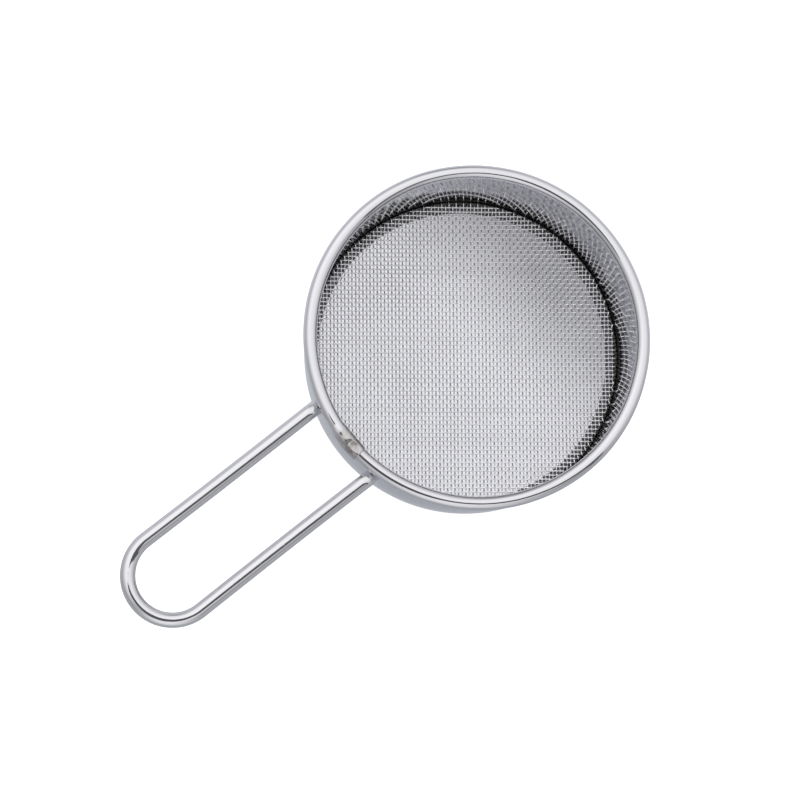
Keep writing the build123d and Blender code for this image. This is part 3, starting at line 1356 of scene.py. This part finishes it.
@dataclass
class Studio:
    """A white tent over a pale floor, with the camera looking almost straight down."""

    aim: tuple[float, float, float] = (23.33, -0.43, 30.4)
    distance: float = 696.34
    tilt: float = 9.50
    bearing: float = 17.10
    roll: float = 34.66
    lens: float = 138.58
    sensor: float = 36.0
    floor_radius: float = 4000.0
    tent_heights: tuple[float, float] = (0.0, 0.80)
    tent_light: tuple[float, float] = (0.66, 1.08)
    tent_seen: float = 1.05
    patches: tuple[Patch, ...] = (
        Patch(heading=125, tilt=40, tightness=6, gain=0.20),
        Patch(heading=190, tilt=65, tightness=4, gain=-0.32),
        Patch(heading=215, tilt=60, tightness=12, gain=-0.40),
        Patch(heading=322, tilt=58, tightness=10, gain=-0.58),
        Patch(heading=90, tilt=84, tightness=30, gain=-0.45),
        Patch(heading=218, tilt=30, tightness=60, gain=-0.50),
    )
    floor_level: float = -0.02
    glow_open: float = 0.88
    # glow under the cloth, a painted shadow of the strainer, lowest towards the camera's upper right
    glow_under: tuple[float, float] = (0.20, 0.61)
    glow_mirrored: tuple[float, float] = (0.14, 0.46)
    strip_level: float = 300.0
    strip: tuple[tuple[float, float, float], ...] = (
        (236, 8, 110),
        (220, 12, 150),
        (180, 28, 175),
        (118, 54, 165),
        (64, 75, 115),
        (30, 120, 95),
        (-10, 178, 90),
        (-73, 265, 75),
        (-130, 420, 50),
        (-190, 716, 40),
    )

    def axes(self) -> tuple[Vector, Vector, Vector]:
        """The camera's right, up and backward directions.

        Returns:
            Three unit vectors.
        """
        tilt, bearing, roll = (math.radians(v) for v in (self.tilt, self.bearing, self.roll))
        lean = math.sin(tilt)
        back = Vector((lean * math.cos(bearing), lean * math.sin(bearing), math.cos(tilt)))
        level_up = (Vector((0, 0, 1)) - back * back.z).normalized()
        level_right = level_up.cross(back)
        up = level_up * math.cos(roll) - level_right * math.sin(roll)
        return up.cross(back), up, back

    def camera(self) -> None:
        """Makes the camera and hands it to the scene."""
        right, up, back = self.axes()
        data = bpy.data.cameras.new("camera")
        data.sensor_width = self.sensor
        data.lens = self.lens
        data.clip_start = 0.01
        data.clip_end = 20.0
        made = bpy.data.objects.new("camera", data)
        turn = Matrix((right, up, back)).transposed().to_4x4()
        made.matrix_world = Matrix.Translation((Vector(self.aim) + back * self.distance) * MM) @ turn
        bpy.context.scene.collection.objects.link(made)
        bpy.context.scene.camera = made

    def world(self) -> None:
        """The tent: white overhead, greyer towards the horizon, with its patches, plain to the camera."""
        world = bpy.data.worlds.new("tent")
        bpy.context.scene.world = world
        world.use_nodes = True
        world.node_tree.nodes.clear()
        graph = Graph(world.node_tree)
        ray = graph.node("TexCoord").outputs["Generated"]
        right, up, back = self.axes()
        strength = graph.span(graph.along(ray, back), *self.tent_heights, *self.tent_light)
        for patch in self.patches:
            heading, tilt = math.radians(patch.heading), math.radians(patch.tilt)
            level = right * math.cos(heading) + up * math.sin(heading)
            towards = level * math.sin(tilt) + back * math.cos(tilt)
            near = graph.math("MAXIMUM", graph.along(ray, towards), 0.0)
            spread = graph.math("POWER", near, patch.tightness)
            gain = graph.math("MULTIPLY_ADD", spread, patch.gain, 1.0)
            strength = graph.math("MULTIPLY", strength, gain)
        seen = graph.node("LightPath").outputs["Is Camera Ray"]
        lit = graph.between(seen, strength, self.tent_seen)
        sky = graph.node("Background", {"Color": (0.99, 0.985, 1.0, 1), "Strength": lit})
        graph.node("OutputWorld", {"Surface": sky.outputs[0]})

    def dark_strip(self) -> None:
        """A narrow dark bar bent over the tent's opening, seen only as a line in polished metal.

        The bar's middle runs through listed stations, each with its own width, and its edges lie
        half a width to each side, at right angles to the run.
        """
        stations = np.array(self.strip, float)
        middle, width = stations[:, :2], stations[:, 2:]
        run = np.gradient(middle, axis=0)
        run /= np.linalg.norm(run, axis=1, keepdims=True)
        aside = np.column_stack([-run[:, 1], run[:, 0]])
        flat = np.concatenate([middle - aside * width / 2, middle + aside * width / 2])
        points = np.column_stack([flat, np.full(len(flat), self.strip_level)])
        count = len(middle)
        first = np.arange(count - 1)
        quads = np.column_stack([first, first + 1, first + 1 + count, first + count])
        bar = Surface(points, quads).make("dark_bar", smooth_all=True)
        material = bpy.data.materials.new("dark_bar")
        material.use_nodes = True
        shader = material.node_tree.nodes["Principled BSDF"]
        shader.inputs["Base Color"].default_value = (0.03, 0.03, 0.035, 1)
        shader.inputs["Roughness"].default_value = 1.0
        shader.inputs["Emission Color"].default_value = (0.9, 0.95, 1.0, 1)
        shader.inputs["Emission Strength"].default_value = 0.07
        bar.data.materials.append(material)
        bar.visible_camera = False
        bar.visible_diffuse = False
        bar.visible_shadow = False

    def floor_surface(self) -> Surface:
        """The floor's disc: rings of points round a middle one, just below the strainer.

        Returns:
            The open disc.
        """
        turn = polar(np.linspace(0, 360, 128, endpoint=False))
        rings = np.array([30.0, 90.0, 200.0, 500.0, 1500.0, self.floor_radius])
        flat = (rings[:, None, None] * turn[None]).reshape(-1, 2)
        points = np.column_stack([flat, np.full(len(flat), self.floor_level)])
        points = np.vstack([points, [[0, 0, self.floor_level]]])
        quads = grid_faces(len(rings), len(turn), wrap_rows=False)
        return Surface(points, quads, fan_faces(np.arange(len(turn)), len(flat)))

    def floor_glow(
        self, graph: Graph, place: object, away: object, far: object, mirrored: object
    ) -> bpy.types.NodeSocket:
        """How strongly each place of the floor glows, to the camera and in polished metal.

        Under the cloth the glow is dimmed, a painted shadow of the strainer, and rises towards the
        camera's lower left. Round the strainer it is even to the camera; in reflections it rises towards
        the camera's up and fades far away.

        Args:
            graph: The material's nodes.
            place: The place on the floor.
            away: Its distance from the strainer's axis.
            far: How far out it is, 0 to 1.
            mirrored: 1 for a ray that comes off polished metal.

        Returns:
            The strength of the glow.
        """
        right, up, _ = self.axes()
        lower_left = -(right + up).normalized()
        # painted shadow: the floor's glow under the cloth is dimmed as the strainer's shade
        under = graph.span(graph.along(place, lower_left), -0.036, -0.002, *self.glow_under)
        outside = graph.span(away, 0.034, 0.040)
        straight = graph.between(outside, under, self.glow_open)
        around = graph.span(graph.along(place, up), -0.07, 0.07, *self.glow_mirrored)
        in_metal = graph.between(outside, under, around)
        near = graph.math("MULTIPLY_ADD", far, -0.9, 1.0)
        return graph.between(mirrored, straight, graph.math("MULTIPLY", in_metal, near))

    def floor(self) -> None:
        """Makes the round pale floor and gives it its finish, greyer in polished metal."""
        floor = self.floor_surface().make("floor", smooth_all=True)
        material = bpy.data.materials.new("pale_floor")
        material.use_nodes = True
        material.node_tree.nodes.clear()
        graph = Graph(material.node_tree)
        place = graph.node("TexCoord").outputs["Object"]
        paper = graph.span(graph.noise(place, 900.0, 4.0), 0.3, 0.7, 0.97, 1.0)
        away = graph.node("VectorMath", {0: place}, operation="LENGTH").outputs["Value"]
        far = graph.span(away, 0.15, 0.60, 0.0, 1.0)
        mirrored = graph.node("LightPath").outputs["Is Glossy Ray"]
        outer = graph.blend(far, (0.38, 0.40, 0.43, 1), (0.42, 0.45, 0.51, 1))
        shade = graph.blend(mirrored, (0.50, 0.50, 0.50, 1), outer)
        tone = graph.blend(1.0, shade, paper, "MULTIPLY")
        glow = self.floor_glow(graph, place, away, far, mirrored)
        tint = graph.blend(mirrored, (1, 1, 1, 1), (0.925, 0.935, 1.0, 1))
        inputs = {
            "Base Color": tone,
            "Roughness": 0.9,
            "Specular IOR Level": 0.0,
            "Emission Color": tint,
            "Emission Strength": glow,
        }
        shader = graph.node("BsdfPrincipled", inputs)
        graph.node("OutputMaterial", {"Surface": shader.outputs["BSDF"]})
        floor.data.materials.append(material)

    def build(self) -> None:
        """Makes the camera, the tent and the floor."""
        bpy.context.scene.view_settings.view_transform = "Standard"
        self.camera()
        self.world()
        self.dark_strip()
        self.floor()


def main() -> None:
    """Builds the studio and each sub-assembly in order."""
    logging.basicConfig(level=logging.INFO, format="%(name)s: %(message)s")
    places = Places.from_frame()
    wardrobe = Wardrobe()
    Studio().build()
    Drum(places).build(wardrobe)
    WovenCloth(places).build(wardrobe)
    Handle(places).build(wardrobe)


if __name__ == "__main__":
    main()
